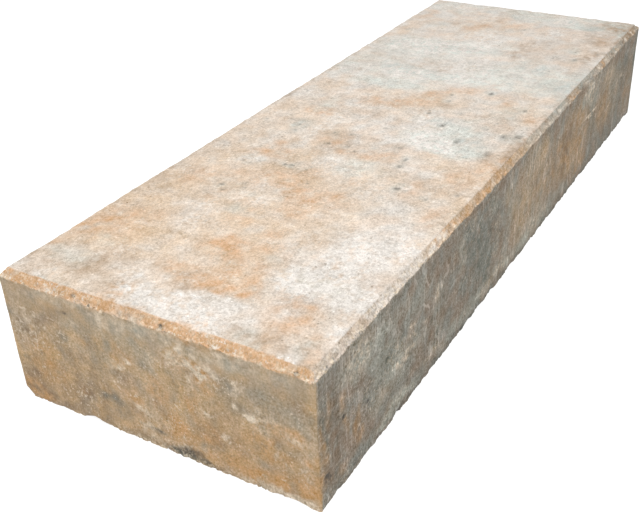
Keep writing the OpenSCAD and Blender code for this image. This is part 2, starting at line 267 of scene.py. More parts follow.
FRONT_SIDE = {
    "tan": [
        (20, 80, 80, 60, 34), (180, 75, 90, 55, 35), (345, 80, 80, 45, 30), (-20, 50, 40, 40, 20),
        (470, 60, 40, 50, 15), (50, 122, 30, 16, 35), (345, 120, 35, 18, 35), (-70, 105, 12, 16, 30),
        (-45, 80, 16, 16, 25), (-385, 45, 22, 10, 20),
    ],
    "ochre": [
        (-480, 100, 4, 16, 30), (-458, 92, 4, 14, 35), (-455, 65, 4, 14, 30), (-430, 56, 4, 14, 40),
        (-433, 42, 4, 12, 45), (-424, 36, 3, 8, 35), (-455, 20, 4, 8, 25), (-499, 75, 2, 70, 20),
        (-465, 22, 6, 6, 25), (-15, 50, 20, 10, 12), (60, 120, 12, 10, 15), (65, 60, 12, 8, 15),
        (115, 88, 15, 8, 19), (140, 65, 22, 22, 19), (170, 60, 35, 28, 19), (205, 105, 28, 20, 20),
        (215, 60, 28, 28, 20), (225, 95, 15, 5, 20), (335, 90, 32, 18, 15), (348, 58, 22, 14, 22),
        (470, 80, 20, 20, 10), (460, 50, 20, 8, 15), (100, 60, 220, 70, 8), (-494, 60, 6, 50, 40),
        (322, 70, 22, 16, 20), (-437, 44, 7, 18, 35), (222, 26, 25, 14, 30), (80, 60, 40, 14, 15),
    ],
    "frost": [
        (-380, 85, 40, 30, 40), (-400, 118, 45, 22, 45), (-440, 118, 30, 16, 35), (-180, 18, 60, 12, 40),
        (40, 28, 80, 20, 30), (232, 114, 25, 16, 60), (270, 110, 30, 20, 30), (-110, 120, 20, 16, 20),
        (-60, 95, 22, 35, 25), (370, 100, 40, 30, 20), (400, 40, 30, 12, 20), (-310, 110, 30, 20, 25),
        (100, 18, 60, 9, 30), (-260, 60, 16, 40, 20), (-210, 120, 14, 24, 25), (-320, 60, 40, 6, 35),
        (-340, 112, 25, 14, 20), (245, 126, 18, 12, 30), (-350, 55, 50, 20, 30), (-90, 24, 40, 12, 25),
        (-370, 50, 30, 22, 30), (-120, 15, 180, 8, 25), (-360, 14, 45, 9, 35), (0, 14, 70, 9, 50),
        (-360, 12, 45, 6, 85),
    ],
    "bloom": [
        (-365, 76, 15, 3, 40), (-322, 86, 8, 2, 60), (-262, 88, 14, 10, 30), (-335, 76, 30, 6, 15),
        (-345, 65, 30, 10, 12), (-372, 100, 5, 2, 50), (-110, 87, 4, 2, 60), (-170, 128, 4, 4, 30),
        (-61, 120, 3, 25, 28), (257, 87.5, 36, 1.5, 70), (420, 88, 16, 2, 35), (235, 130, 18, 14, 35),
        (255, 118, 20, 16, 30), (-120, 15, 30, 10, 25), (-80, 18, 25, 9, 25), (40, 22, 50, 10, 20),
        (0, 100, 50, 35, 15), (50, 115, 35, 20, 20), (-270, 20, 20, 8, 25), (-430, 118, 28, 18, 30),
        (280, 130, 40, 12, 20), (340, 118, 30, 16, 15), (-200, 100, 10, 20, 15), (-338, 60, 24, 3, 45),
        (-308, 72, 20, 3, 40), (-360, 16, 30, 8, 12),
    ],
    "slate": [
        (-375, 105, 30, 22, 20), (-370, 35, 18, 12, 30), (-385, 137, 14, 5, 25), (-440, 60, 6, 10, 30),
        (-188, 110, 22, 28, 45), (-155, 95, 26, 45, 60), (-118, 80, 20, 45, 55), (-122, 85, 14, 8, 40),
        (-140, 55, 26, 30, 60), (-155, 35, 20, 16, 60), (-130, 130, 30, 9, 50), (-85, 90, 30, 45, 25),
        (-230, 80, 50, 60, 15), (-220, 5, 60, 4, 50), (-160, 6, 15, 5, 50), (75, 8, 30, 6, 35),
        (130, 10, 18, 8, 40), (175, 8, 18, 7, 50), (320, 8, 22, 7, 30), (430, 100, 55, 40, 25),
        (400, 45, 35, 14, 25), (494, 75, 10, 70, 30), (-440, 10, 50, 6, 25), (-485, 65, 18, 50, 10),
        (-330, 50, 100, 50, 12), (300, 25, 60, 15, 20), (265, 70, 22, 30, 25), (-30, 60, 30, 30, 15),
        (-385, 80, 40, 25, 30), (-185, 50, 22, 30, 45), (275, 60, 20, 20, 25), (150, 62, 12, 20, 30),
        (-478, 80, 16, 40, 25), (-355, 78, 30, 16, 35), (-125, 35, 35, 18, 35), (492, 95, 8, 40, 40),
        (400, 80, 60, 40, 15), (-492, 80, 8, 50, 35), (-350, 70, 30, 18, 20), (-128, 85, 14, 22, 30),
        (-135, 38, 30, 16, 25), (25, 112, 22, 14, 20), (245, 126, 16, 10, 25), (338, 62, 16, 14, 35),
        (493, 110, 7, 40, 40), (-125, 80, 12, 24, 30), (-160, 38, 22, 16, 30), (-205, 98, 12, 18, 25),
        (20, 118, 26, 12, 25), (-370, 90, 26, 20, 25), (495, 110, 6, 40, 40), (-440, 124, 50, 10, 25),
        (450, 85, 30, 30, 20), (-487, 85, 13, 25, 20), (0, 2, 495, 4.5, 45), (-140, 40, 18, 16, 30),
        (265, 100, 25, 25, 25), (345, 45, 15, 15, 20), (-480, 70, 14, 40, 25), (360, 14, 120, 14, 30),
        (-488, 70, 12, 70, 25),
    ],
    "umber": [
        (-275, 112, 10, 20, 30), (-480, 70, 22, 60, 40), (-235, 105, 22, 24, 30), (-115, 90, 12, 6, 40),
        (-120, 96, 8, 3, 40), (142, 72, 18, 28, 45), (160, 100, 16, 16, 35), (-330, 40, 50, 12, 20),
        (100, 60, 20, 16, 25), (-280, 65, 20, 20, 20), (300, 60, 60, 40, 12), (-489, 32, 8, 7, 30),
        # The three thin rows at 137 mm, just under the chamfer's foot, are partly brown stain and partly
        # painted shadow under the lip
        (440, 75, 55, 50, 15), (60, 137, 60, 3, 25), (300, 137, 200, 3, 35), (-150, 137, 80, 4, 50),
        (470, 95, 12, 10, 25), (380, 130, 14, 8, 20), (-300, 30, 20, 14, 20), (-475, 50, 16, 40, 40),
        (145, 58, 16, 25, 35), (-275, 42, 16, 12, 25), (95, 75, 22, 18, 20), (200, 100, 24, 18, 20),
        (-275, 48, 16, 14, 25), (138, 88, 20, 14, 30), (208, 112, 14, 14, 20), (355, 102, 18, 12, 25),
        (-250, 48, 10, 16, 25), (150, 95, 24, 12, 20), (225, 78, 12, 14, 20), (370, 105, 20, 10, 20),
        (100, 30, 20, 8, 20), (165, 72, 45, 25, 25), (335, 90, 35, 40, 20), (-258, 62, 12, 24, 35),
        (-262, 35, 10, 12, 30), (-436, 44, 8, 18, 80),
    ],
    # Dark specks: painted shade in the riser's pits. The two long rows darken the riser along its bottom
    # edge
    "pit_shade": [
        (-489, 32, 3, 3, 100), (-482, 28, 2, 2, 70), (-457, 75, 4, 3, 90), (-413, 60, 4, 3, 90),
        (-438, 8, 5, 4, 40), (-268, 7, 5, 2, 80), (-378, 9, 5, 2, 50), (-395, 5, 5, 3, 50),
        (-120, 91, 9, 4, 40), (-340, 4, 18, 2, 50), (-488, 31, 5.5, 5, 100), (-250, 1.5, 250, 4, 30),
        (250, 1.5, 250, 4, 30),
    ],
}

FRONT_CHAMFER = {
    "tan": [
        (-240, 146, 120, 7, 35), (-150, 146, 170, 8, 45), (180, 146, 60, 8, 30), (440, 146, 70, 8, 40),
        (-245, 146, 50, 7, 30), (30, 146, 60, 6, 20), (-60, 146, 110, 8, 30), (-225, 146, 30, 7, 20),
        (-430, 146, 60, 8, 30),
    ],
    "ochre": [
        (-492, 146, 8, 6, 50), (-430, 146, 40, 5, 10), (-175, 146, 70, 6, 52), (-105, 146, 50, 6, 45),
        (-40, 146, 35, 6, 30), (175, 146, 25, 6, 24), (305, 146, 25, 6, 35), (445, 146, 40, 6, 10),
        (-240, 146, 30, 6, 25), (-240, 146, 40, 6, 30), (-245, 146, 36, 6, 30), (172, 144, 14, 4, 30),
        (300, 144, 14, 4, 25), (385, 144, 12, 3, 30), (470, 145, 14, 4, 30), (-100, 146, 40, 7, 30),
        (-260, 147, 20, 5, 25),
    ],
    "frost": [
        (110, 146, 30, 6, 35), (245, 146, 38, 6, 30), (20, 146, 40, 6, 30), (375, 146, 40, 6, 20),
    ],
    "bloom": [
        (-430, 145, 60, 6, 20), (-320, 145, 70, 6, 42), (-250, 145, 50, 5, 25), (20, 144, 50, 4, 20),
        (-120, 143, 40, 3, 20), (100, 142.5, 50, 2, 35), (330, 143, 14, 3, 40), (462, 144, 10, 3, 50),
        (-470, 145, 20, 4, 25), (-390, 145, 25, 4, 30), (-494, 144, 7, 5, 60), (385, 145, 30, 6, 35),
        (425, 144, 10, 3, 50), (290, 144, 8, 3, 40),
    ],
    "slate": [
        (120, 146, 28, 6, 60), (245, 146, 38, 6, 60), (375, 146, 45, 6, 60), (50, 148, 70, 3, 40),
        (300, 146, 200, 6, 30), (-460, 146, 30, 5, 20), (190, 146, 40, 6, 30), (450, 146, 60, 6, 40),
        (112, 146, 40, 7, 30), (225, 146, 60, 7, 25), (470, 147, 30, 6, 30), (105, 146, 35, 7, 25),
        (455, 146, 30, 7, 35),
    ],
    "umber": [
        # The thin row at 142 mm, along the chamfer's foot, is partly brown stain and partly painted shadow
        # under the lip
        (-150, 148, 90, 3, 30), (140, 146, 120, 6, 15), (400, 145, 120, 6, 30), (300, 142, 200, 2, 40),
        (-180, 147, 70, 6, 42), (20, 147, 50, 6, 30), (180, 148, 60, 4, 35), (300, 147, 60, 7, 42),
        (455, 147, 50, 7, 50), (-265, 147, 40, 5, 25), (20, 147, 80, 7, 20), (440, 147, 70, 7, 30),
        (180, 146, 60, 7, 20), (-420, 146, 80, 7, 20), (-245, 146, 40, 7, 20), (-245, 146, 36, 7, 30),
        (-245, 146, 40, 7, 25), (-90, 146, 50, 7, 15), (70, 146, 90, 7, 20), (-455, 146, 40, 7, 25),
        (225, 146, 30, 7, 15), (-440, 146, 60, 7, 20), (-105, 146, 40, 7, 20),
    ],
    # Dark specks along the chamfer's foot: painted shadow in the pits and under the crumbs
    "pit_shade": [
        (-467, 144, 1.5, 1.5, 80), (-458, 145, 1.5, 1.5, 60), (-90, 142, 4, 1.5, 50), (96, 142, 4, 2, 70),
        (210, 143, 14, 2.5, 35), (250, 143, 10, 2, 35), (345, 143, 16, 2.5, 35), (410, 144, 14, 3, 35),
        (-446, 144.5, 1.5, 1.5, 70), (-478, 143, 1.5, 1.5, 80), (-425, 143, 1.5, 1.5, 50),
    ],
}

# A long thin scratch on the riser, and the grainy spots on the left end, laid out as the
# stains are
SCRATCH = (257, 87.5, 38, 1.3, 90)
GRAINY_SPOTS = [
    (-106, 79, 9, 5, 90), (-149, 70, 14, 9, 60), (-57, 69, 7, 4, 70), (30, 86, 7, 7, 70),
    (-130, 58, 6, 4, 60), (-136, 46, 4, 3, 60), (-75, 46, 4, 3, 70), (-82, 60, 5, 3, 50),
    (130, 92, 10, 5, 40), (-20, 52, 12, 8, 30),
]

# How the edges of the stains wander, all but those of the painted pit shade: the size of
# the pattern that moves them, and by how much. The seed picks another run of the pattern.
DRIFTS = ((34 * MM, 8 * MM), (11 * MM, 3.5 * MM))
DRIFT_SEED = 3

# The right end has the riser's stains, drawn together to fit its shorter face
RIGHT_END_SQUEEZE = 2.4


# ---------------------------------------------------------------- modelling helpers


def deselect_all():
    bpy.ops.object.select_all(action="DESELECT")


def pick_nothing(kind):
    """Leaves none of the active piece picked, and edges or faces as what is picked."""
    bpy.ops.object.mode_set(mode="EDIT")
    bpy.ops.mesh.select_mode(type=kind)
    bpy.ops.mesh.select_all(action="DESELECT")
    bpy.ops.object.mode_set(mode="OBJECT")


def pick_edges(piece, wanted):
    """Picks the piece's edges whose two ends pass the test, and stays in edit mode."""
    pick_nothing("EDGE")
    points = [v.co for v in piece.data.vertices]
    for edge in piece.data.edges:
        a, b = (points[i] for i in edge.vertices)
        edge.select = wanted(a, b)
    bpy.ops.object.mode_set(mode="EDIT")


def pick_faces(piece, wanted):
    """Picks the piece's faces whose centre and normal pass the test, in edit mode."""
    pick_nothing("FACE")
    for face in piece.data.polygons:
        face.select = wanted(face.center, face.normal)
    bpy.ops.object.mode_set(mode="EDIT")


def cut_picked(cuts):
    """Cuts all that is picked, and leaves edit mode."""
    bpy.ops.mesh.subdivide(number_cuts=cuts)
    bpy.ops.object.mode_set(mode="OBJECT")


def cut_along(piece, axis, passes):
    """Cuts every edge that runs along the axis, in one pass for each number of cuts."""
    for cuts in passes:
        pick_edges(piece, lambda a, b: (b - a).normalized()[axis] ** 2 > 0.999)
        cut_picked(cuts)


def apply(piece, modifier):
    deselect_all()
    piece.select_set(True)
    bpy.context.view_layer.objects.active = piece
    bpy.ops.object.modifier_apply(modifier=modifier.name)


def places(piece):
    """The piece's vertices as an array with a row for each."""
    flat = np.zeros(len(piece.data.vertices) * 3)
    piece.data.vertices.foreach_get("co", flat)
    return flat.reshape(-1, 3)


def ramp(values, start, end):
    """0 before start, 1 past end and a smooth rise between them. End may be the lower."""
    t = np.clip((values - start) / (end - start), 0, 1)
    return t * t * (3 - 2 * t)


# ---------------------------------------------------------------- the block's mesh

# Cuts along X, Y and Z, in two passes each, that leave faces of about 5 mm. Where there
# is detail, each face is cut again.
GRID_CUTS = ((19, 9), (9, 6), (6, 3))
CHAMFER_CUTS = 3
DETAIL_CUTS = 2

# Bands that have detail: below the chamfer's foot, past its upper edge, above the
# underside, in from a side at the bottom, and round a spot (this last one in mm)
BELOW_CHAMFER = 7 * MM
PAST_CHAMFER = 4 * MM
ABOVE_UNDERSIDE = 9 * MM
IN_FROM_SIDE = 6 * MM
ROUND_A_SPOT = 3.5


def cast_block():
    """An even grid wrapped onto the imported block, then painted and worn."""
    block = raw_block()
    pick_faces(block, needs_detail)
    cut_picked(DETAIL_CUTS)

    form = block.modifiers.new("cad_form", "SHRINKWRAP")
    form.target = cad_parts["block_step"]
    form.wrap_method = "NEAREST_SURFACEPOINT"
    apply(block, form)

    paint_block(block)
    roughen(block)
    deselect_all()
    block.select_set(True)
    bpy.ops.object.shade_smooth_by_angle(angle=math.radians(60))
    return block


def raw_block():
    """A box with the chamfer round its top, as an even grid of faces."""
    deselect_all()
    bpy.ops.mesh.primitive_cube_add(size=1, location=(LOW + HIGH) / 2, scale=SIZE)
    block = bpy.context.object
    block.name = block.data.name = "cast_block"
    bpy.ops.object.transform_apply(location=True, rotation=True, scale=True)

    pick_faces(block, lambda centre, normal: normal.z > 0.9)
    bpy.ops.mesh.inset(thickness=chamfer_width)
    bpy.ops.object.mode_set(mode="OBJECT")
    pick_edges(block, lambda a, b: on_rim(a) and on_rim(b))
    bpy.ops.transform.translate(value=(0, 0, -chamfer_drop))
    bpy.ops.object.mode_set(mode="OBJECT")

    pick_edges(block, is_mitre)
    cut_picked(CHAMFER_CUTS)
    for axis, passes in enumerate(GRID_CUTS):
        cut_along(block, axis, passes)
    return block


def on_rim(point):
    """True for a point at the outer edge of the top of the uncut box."""
    outer = abs(abs(point.x) - HIGH.x) < MM / 10 or abs(abs(point.y) - HIGH.y) < MM / 10
    return outer and point.z > HIGH.z - MM / 10


def is_mitre(a, b):
    """True for an edge where two chamfers meet, which runs along X and Y at once."""
    return abs((b - a).x) > MM and abs((b - a).y) > MM


def needs_detail(centre, normal):
    """True near the chamfer, near the bottom edges and round each dark or pale spot."""
    from_side = min(HIGH.x - abs(centre.x), HIGH.y - abs(centre.y))
    if centre.z > chamfer_foot - BELOW_CHAMFER and from_side < chamfer_width + PAST_CHAMFER:
        return True
    if centre.z < ABOVE_UNDERSIDE and from_side < IN_FROM_SIDE:
        return True
    if normal.z > 0.9:
        spots, here = TREAD["pit_shade"], (centre.x, centre.y)
    elif normal.y < -0.9:
        spots, here = FRONT_SIDE["pit_shade"] + [SCRATCH], (centre.x, centre.z)
    elif normal.x < -0.9:
        spots, here = LEFT_END["pit_shade"] + LEFT_END["bloom"], (centre.y, centre.z)
    else:
        return False
    return any(is_crisp(spot) and is_near(here, spot) for spot in spots)


def is_crisp(spot):
    """True for a spot or a thin streak, and not for a wide soft patch."""
    _, _, reach_across, reach_up, _ = spot
    return reach_across < 20 or reach_up < 2


def is_near(here, spot):
    across, up, reach_across, reach_up, _ = spot
    return (abs(here[0] / MM - across) < reach_across + ROUND_A_SPOT
            and abs(here[1] / MM - up) < reach_up + ROUND_A_SPOT)


# ---------------------------------------------------------------- painting the stains, and the painted light and shade


def paint_block(block):
    """Stores how strong each stain, finish and mark of painted light and shade is at each vertex,
    before the roughening.
    """
    at = places(block)
    drifted = wandering(at)
    on = where_it_lies(at)
    layers = stain_and_shade_layers(at, drifted, on)
    add_end_rust(layers, at, drifted)
    layers.update(finish_light_and_shade_layers(at, on, layers["pit_shade"]))
    for name, values in layers.items():
        stored = block.data.attributes.new(name, "FLOAT", "POINT")
        stored.data.foreach_set("value", values.astype(np.float32))


def stain_and_shade_layers(at, drifted, on):
    """Each stain's strength at each vertex, and that of the painted shade in the dark pits.
    The back and the right end are out of sight, and have the riser's stains turned round."""
    layers = {}
    for stain_and_shade in TREAD:
        x, y, z = (at if stain_and_shade == "pit_shade" else drifted).T
        tread = list(TREAD[stain_and_shade])
        if stain_and_shade == "slate":
            tread += [halo(spot) for spot in TREAD["pit_shade"]]
        free = bare(x, y, tread, on["tread"])
        free *= bare(y, z, LEFT_END[stain_and_shade], on["left"])
        free *= bare(-RIGHT_END_SQUEEZE * y, z, FRONT_SIDE[stain_and_shade], on["right"])
        for side, along in (("front", x), ("back", -x)):
            free *= bare(along, z, FRONT_SIDE[stain_and_shade], on[side])
            free *= bare(along, z, FRONT_CHAMFER[stain_and_shade], on[side + "_chamfer"])
        layers[stain_and_shade] = 1 - free

    x, y, z = at.T
    layers["bloom"] = 1 - (1 - layers["bloom"]) * bare(x, z, [SCRATCH], on["front"])
    return layers


def add_end_rust(layers, at, drifted):
    """Rust-coloured chamfers at the ends, with a torn upper edge. The strengths past 1
    leave hardly any clean concrete between."""
    x, y, z = at.T
    end_in = HIGH.x - np.abs(x) + (drifted[:, 0] - x) / 6
    rust = np.where(z > chamfer_foot - MM / 2, ramp(end_in, 8.5 * MM, 5.5 * MM), 0)
    rust *= np.where(x < 0, 1, 0.15)
    layers["ochre"] = np.maximum(layers["ochre"], 1.25 * rust)
    layers["tan"] = np.maximum(layers["tan"], 1.2 * rust)


def finish_light_and_shade_layers(at, on, pit_shade):
    """Each finish's strength at each vertex, from 0 to about 1. The riser's layer holds painted
    light on the long chamfers, and the lip's and the crumbs' layers hold painted highlight and shadow.
    """
    y, z = at[:, 1], at[:, 2]
    end = on["left"] | on["right"]
    riser = darkened(at, on)
    drag = riser * np.select([end, on["underside"]], [0.4, 0], 1)

    # A smooth band below the chamfer of the ends, with few flecks and little grain
    band = ramp(z, 112 * MM, 122 * MM) * ramp(z, chamfer_foot, chamfer_foot - 3 * MM)
    flecks = np.select([on["tread"], end], [0.35, 0.65 - 0.5 * band], 0.3)
    flecks *= 1 - 0.8 * pit_shade
    flecks *= np.where(on["left"], 1 - 0.6 * ramp(y, -150 * MM, -170 * MM), 1)
    return {"riser": riser, "drag": drag, "lip": pitted_lip(at, on),
            "crumbs_glint_and_shade": crumbled_edges_glint_and_shade(at, on), "flecked": flecks,
            "coarse": coarse_grain(at, on, end, band)}


def darkened(at, on):
    """1 on the sides, 0 on the tread, and less on the chamfer than on the sides. The long
    chamfers are the paler towards the left end: partly their own colour, and partly painted
    light where the worn chamfer turns up and catches more light than its flat face gets."""
    x, y, z = at.T
    long_chamfer = on["front_chamfer"] | on["back_chamfer"]
    # The long chamfers' share falls towards the left end: partly their colour, partly painted light on the
    # worn, upturned chamfer
    on_chamfer = np.select(
        [on["tread"], long_chamfer, x < 0],
        [0, 0.15 + 0.45 * ramp(x, -360 * MM, -100 * MM), 0.24], 0.6)
    return np.maximum(ramp(z, chamfer_foot + MM / 2, chamfer_foot - MM), on_chamfer)


def pitted_lip(at, on):
    """A pale and pitted line along the chamfer's foot, which fades along the riser. Its paleness is
    partly its own colour and partly painted highlight where the burr catches the light, and its
    pits are painted shadow.
    """
    x, y, z = at.T
    fading = 0.3 + 0.5 * ramp(x, 100 * MM, -300 * MM)
    return ramp(np.abs(z - chamfer_foot), 3.2 * MM, 0.8 * MM) * np.where(
        on["front"] | on["front_chamfer"], fading, 0.8)


def crumbled_edges_glint_and_shade(at, on):
    """Crumbs on the chamfer, at the bottom edges and at the left end's grainy spots: pale, partly
    in colour and partly as painted highlight where they catch the light, with painted shadow
    in their pits.
    """
    x, y, z = at.T
    long_chamfer = on["front_chamfer"] | on["back_chamfer"]
    rim = ramp(z, chamfer_foot - 3 * MM, chamfer_foot + MM) * np.select(
        [on["tread"], long_chamfer], [0, 0.35 + 0.6 * ramp(x, -100 * MM, -300 * MM)], 1)
    foot = np.where(on["left"] & (y < 60 * MM), 1.4 * ramp(z, 13 * MM, 2 * MM),
                    0.3 * ramp(z, 7 * MM, 1.5 * MM))
    return 1 - (1 - np.maximum(rim, foot)) * bare(y, z, GRAINY_SPOTS, on["left"])


def coarse_grain(at, on, end, band):
    """How much the sand's grain shows, on the tread, on the ends and on the long sides."""
    x, y, z = at.T
    tread = 0.72 - 0.18 * ramp(x, -20 * MM, 200 * MM)
    ends = 0.62 - 0.06 * ramp(y, -50 * MM, 50 * MM) - 0.25 * band
    sides = 0.82 - 0.22 * ramp(x, -250 * MM, 0) + 0.08 * ramp(x, 100 * MM, 250 * MM)
    return np.select([on["tread"], end], [tread, ends], sides)


def where_it_lies(at):
    """Which face of the block each vertex lies on. The left end takes in its chamfer, and
    the rounding of its upright corners."""
    x, y, z = at.T
    tread = z > HIGH.z - MM
    sloped = (z > chamfer_foot - MM / 2) & ~tread
    from_side = np.array([y - LOW.y, HIGH.y - y, x - LOW.x, HIGH.x - x])
    nearest = (from_side - np.array([[0], [0], [2 * MM], [0]])).argmin(axis=0)
    front, back, left, right = (
        (nearest == side) & (from_side[side] < chamfer_width) & ~tread for side in range(4))
    return {
        "tread": tread, "underside": (z < 2 * MM) & ~(front | back | left | right),
        "left": left, "right": right & ~sloped,
        "front": front & ~sloped, "front_chamfer": front & sloped,
        "back": back & ~sloped, "back_chamfer": back & sloped,
    }


def halo(spot):
    """The grey ring round a dark spot."""
    across, up, reach_across, reach_up, strength = spot
    return across, up, 2.4 * reach_across, 2.4 * reach_up, 0.45 * strength


def wandering(at):
    """The vertices' places, each moved a little, so that ovals painted there look torn."""
    moved = at.copy()
    noise.seed_set(DRIFT_SEED)
    for size, reach in DRIFTS:
        moved += [noise.noise_vector(Vector(p) / size) * reach for p in at]
    return moved


def bare(across, up, patches, face):
    """The share of the face that the patches leave bare, and 1 on every other face."""
    free = np.ones(len(across))
    a, b = across[face] / MM, up[face] / MM
    for middle_a, middle_b, reach_a, reach_b, strength in patches:
        off = np.hypot((a - middle_a) / reach_a, (b - middle_b) / reach_b)
        free[face] *= 1 - strength / 100 * ramp(off, 1.35, 0.35)
    return free


# ---------------------------------------------------------------- roughening


def roughen(block):
    """Inward unevenness all over, a ragged line under the chamfer and a crumbled foot."""
    at = places(block)
    z = at[:, 2]
    from_side = np.minimum(HIGH.x - np.abs(at[:, 0]), HIGH.y - np.abs(at[:, 1]))
    from_foot = np.hypot(z, from_side)
    left_end = at[:, 0] < LOW.x + MM
    pit_shade = np.zeros(len(at))
    block.data.attributes["pit_shade"].data.foreach_get("value", pit_shade)

    share = {
        "all_over": np.ones(len(at)),
        "sides": ramp(from_side, MM, 0) * ramp(z, chamfer_foot + MM, chamfer_foot - 2 * MM),
        "chamfer_foot": ramp(np.abs(z - chamfer_foot), 4.5 * MM, MM),
        "chamfer_top": ramp(HIGH.z - z + np.abs(from_side - chamfer_width), 4 * MM, 0),
        "chamfer_face": ramp(z, chamfer_foot - MM, chamfer_foot + 2 * MM)
        * ramp(z, HIGH.z, HIGH.z - 2 * MM),
        "bottom_edge": ramp(from_foot, 7 * MM, MM) * np.where(left_end, 0.4, 1),
        "end_foot": ramp(from_foot, 6 * MM, MM) * np.where(left_end, 1, 0),
        "spots": pit_shade,
    }
    for name, values in share.items():
        group = block.vertex_groups.new(name=name)
        for index in np.nonzero(values > 0.01)[0]:
            group.add([int(index)], float(values[index]), "REPLACE")

    wear(block, "all_over", size=70 * MM, depth=0.4 * MM)
    wear(block, "sides", size=10 * MM, depth=0.35 * MM)
    wear(block, "chamfer_foot", size=16 * MM, depth=2.6 * MM, axis="Z", level=0.5)
    wear(block, "chamfer_foot", size=5 * MM, depth=1.5 * MM, axis="Z", level=0.5)
    wear(block, "chamfer_foot", size=5 * MM, depth=1.6 * MM, start=0.5)
    wear(block, "chamfer_top", size=12 * MM, depth=0.8 * MM)
    wear(block, "chamfer_face", size=4 * MM, depth=1.0 * MM)
    wear(block, "bottom_edge", size=15 * MM, depth=1.6 * MM, start=0.52)
    wear(block, "bottom_edge", size=6 * MM, depth=1.0 * MM, start=0.5)
    wear(block, "end_foot", size=3 * MM, depth=2.4 * MM, start=0.5)
    wear(block, "spots", size=3 * MM, depth=1.2 * MM)


def wear(block, where, size, depth, axis="NORMAL", level=0.0, start=0.3):
    """Moves the surface in by up to the depth where a cloudy pattern passes the start,
    or both ways along an axis at level 0.5."""
    texture = bpy.data.textures.new(where, "CLOUDS")
    texture.noise_scale = size
    texture.noise_depth = 2
    texture.use_color_ramp = True
    low, high = texture.color_ramp.elements
    low.position, low.color = start, (0, 0, 0, 1)
    high.position, high.color = start + 0.4, (1, 1, 1, 1)
    worn = block.modifiers.new(where, "DISPLACE")
    worn.texture = texture
    worn.texture_coords = "LOCAL"
    worn.direction = axis
    worn.mid_level = level
    worn.strength = -depth
    worn.vertex_group = where
    apply(block, worn)


# ---------------------------------------------------------------- material helpers

FLOAT, COLOUR, VECTOR = "NodeSocketFloat", "NodeSocketColor", "NodeSocketVector"


def add(tree, kind, **settings):
    made = tree.nodes.new(kind)
    for name, value in settings.items():
        setattr(made, name, value)
    return made


def put(tree, socket, value):
    """Links the socket to another socket, or sets it to a plain value."""
    if isinstance(value, bpy.types.NodeSocket):
        tree.links.new(value, socket)
    else:
        socket.default_value = value


def fill(tree, made, values):
    """Puts the values into the node's sockets in turn, and gives its first output."""
    for socket, value in zip(made.inputs, values):
        put(tree, socket, value)
    return made.outputs[0]


def maths(tree, operation, *values, clamp=False):
    made = add(tree, "ShaderNodeMath", operation=operation, use_clamp=clamp)
    return fill(tree, made, values)


def vector_maths(tree, operation, *values):
    return fill(tree, add(tree, "ShaderNodeVectorMath", operation=operation), values)


def centred(tree, value):
    """A pattern that runs from 0 to 1, moved so that it wanders round 0."""
    return maths(tree, "SUBTRACT", value, 0.5)


def spread(tree, value, low, high, to_low=0.0, to_high=1.0):
    """Stretches a value from one range to another and holds it there."""
    made = add(tree, "ShaderNodeMapRange", interpolation_type="SMOOTHSTEP")
    return fill(tree, made, (value, low, high, to_low, to_high))


def mix(tree, factor, a, b):
    made = add(tree, "ShaderNodeMix", data_type="RGBA")
    put(tree, made.inputs["Factor"], factor)
    put(tree, made.inputs[6], a)
    put(tree, made.inputs[7], b)
    return made.outputs[2]


def noise_pattern(tree, vector, scale, detail, roughness):
    made = add(tree, "ShaderNodeTexNoise")
    put(tree, made.inputs["Vector"], vector)
    put(tree, made.inputs["Scale"], scale)
    put(tree, made.inputs["Detail"], detail)
    put(tree, made.inputs["Roughness"], roughness)
    return made.outputs["Fac"]


def clouds(tree, vector, size, detail, roughness, seed):
    """Cloudy noise whose largest lumps have the size, in metres."""
    apart = vector_maths(tree, "ADD", vector, (seed, seed * 0.7, seed * 0.3))
    return noise_pattern(tree, apart, 1 / size, detail, roughness)


def cells(tree, vector, scale):
    """The outputs of a pattern of cells, each with its own chance tone."""
    made = add(tree, "ShaderNodeTexVoronoi", feature="F1")
    put(tree, made.inputs["Vector"], vector)
    put(tree, made.inputs["Scale"], scale)
    return made.outputs


def lighten(tree, colour, tone):
    """The colour made lighter or darker by a tone, with hardly any change of hue."""
    grey = fill(tree, add(tree, "ShaderNodeRGBToBW"), [colour])
    muted = mix(tree, 0.7, colour, grey)
    toned = vector_maths(tree, "MULTIPLY_ADD", muted, tone, colour)
    return vector_maths(tree, "MAXIMUM", toned, (0.01, 0.01, 0.01))


def painted(tree, name):
    """How strong a painted layer is."""
    return add(tree, "ShaderNodeAttribute", attribute_name=name).outputs["Fac"]


def new_group(name, inputs, outputs):
    """An empty node group, what is given to it and what it puts out."""
    tree = bpy.data.node_groups.new(name, "ShaderNodeTree")
    for title, kind in inputs:
        tree.interface.new_socket(title, in_out="INPUT", socket_type=kind)
    for title, kind in outputs:
        tree.interface.new_socket(title, in_out="OUTPUT", socket_type=kind)
    given, result = add(tree, "NodeGroupInput"), add(tree, "NodeGroupOutput")
    return tree, given.outputs, result.inputs


def use_group(tree, group, **values):
    made = add(tree, "ShaderNodeGroup", node_tree=group)
    for name, value in values.items():
        put(tree, made.inputs[name.title()], value)
    return made.outputs


# ---------------------------------------------------------------- surface effects


def stain_and_shade_effect():
    """Lays a colour over another, thick and thin as a cloudy pattern says: a stain's colour,
    and the painted shade of the dark pits as well.
    """
    tree, given, result = new_group(
        "stain_and_shade",
        [("Below", COLOUR), ("Colour", COLOUR), ("Mask", FLOAT), ("Clouds", FLOAT),
         ("Contrast", FLOAT)],
        [("Colour", COLOUR)],
    )
    uneven = centred(tree, given["Clouds"])
    uneven = maths(tree, "MULTIPLY_ADD", uneven, given["Contrast"], 1.0)
    uneven = maths(tree, "MAXIMUM", uneven, 0.0)
    cover = maths(tree, "MULTIPLY", given["Mask"], uneven, clamp=True)
    put(tree, result["Colour"], mix(tree, cover, given["Below"], given["Colour"]))
    return tree


